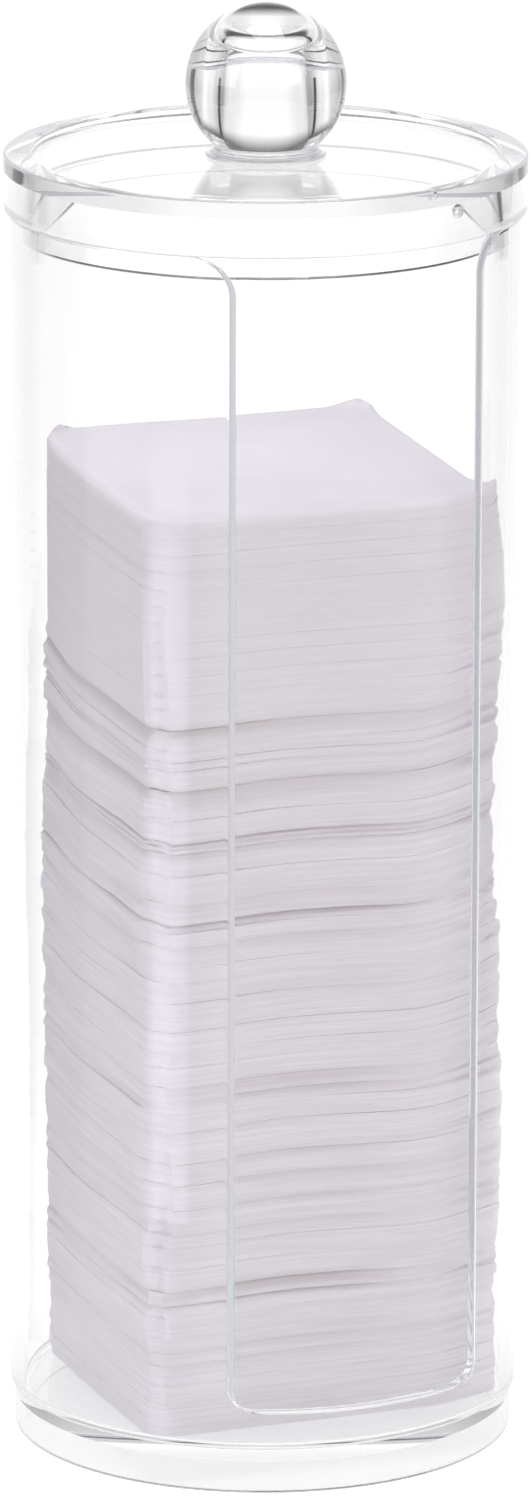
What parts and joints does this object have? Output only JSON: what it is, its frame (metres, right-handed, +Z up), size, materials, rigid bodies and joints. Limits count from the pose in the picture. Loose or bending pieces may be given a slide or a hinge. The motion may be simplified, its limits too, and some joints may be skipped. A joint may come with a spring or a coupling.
{
  "type": "cotton pad holder",
  "caption": "Tall round clear plastic holder that dispenses square cotton pads through a wide open-topped front slot, with a plug lid and a ball knob; filled with a stack of pads.",
  "frame": {"origin": "centre of the foot's underside, on the surface that the holder stands on", "axes": "+Z up along the tube; the dispensing slot faces -Y; +X to the right of somebody facing the slot"},
  "size_m": [0.078, 0.078, 0.2191],
  "materials": {
    "clear_plastic": "clear polished moulding, colourless, slightly grey at thick edges",
    "cotton": "matt bonded cotton wool in fine layers, cut at the edges"
  },
  "bodies": {
    "container": {"container_body": "clear_plastic"},
    "lid": {"lid": "clear_plastic", "ball_knob": "clear_plastic"},
    "pad_stack": {"pad_01": "cotton", "pad_02": "cotton", "pad_03": "cotton", "pad_04": "cotton", "pad_05": "cotton", "pad_06": "cotton", "pad_07": "cotton", "pad_08": "cotton", "pad_09": "cotton", "pad_10": "cotton", "pad_11": "cotton", "pad_12": "cotton", "pad_13": "cotton", "pad_14": "cotton", "pad_15": "cotton", "pad_16": "cotton", "pad_17": "cotton", "pad_18": "cotton", "pad_19": "cotton", "pad_20": "cotton", "pad_21": "cotton", "pad_22": "cotton", "pad_23": "cotton", "pad_24": "cotton", "pad_25": "cotton", "pad_26": "cotton", "pad_27": "cotton", "pad_28": "cotton", "pad_29": "cotton", "pad_30": "cotton", "pad_31": "cotton", "pad_32": "cotton", "pad_33": "cotton", "pad_34": "cotton", "pad_35": "cotton", "pad_36": "cotton", "pad_37": "cotton", "pad_38": "cotton", "pad_39": "cotton", "pad_40": "cotton", "pad_41": "cotton", "pad_42": "cotton", "pad_43": "cotton", "pad_44": "cotton", "pad_45": "cotton", "pad_46": "cotton", "pad_47": "cotton", "pad_48": "cotton", "pad_49": "cotton", "pad_50": "cotton", "pad_51": "cotton", "pad_52": "cotton", "pad_53": "cotton"},
    "top_pad": {"pad_54": "cotton"}
  },
  "joints": [
    {"name": "lid_lift", "type": "slide", "parent": "container", "child": "lid", "axis": [0, 0, 1], "range_m": [0, 0.12]},
    {"name": "pad_stack_lift", "type": "slide", "parent": "container", "child": "pad_stack", "axis": [0, 0, 1], "range_m": [0, 0.018]},
    {"name": "top_pad_lift", "type": "slide", "parent": "pad_stack", "child": "top_pad", "axis": [0, 0, 1], "range_m": [0, 0.016]}
  ]
}
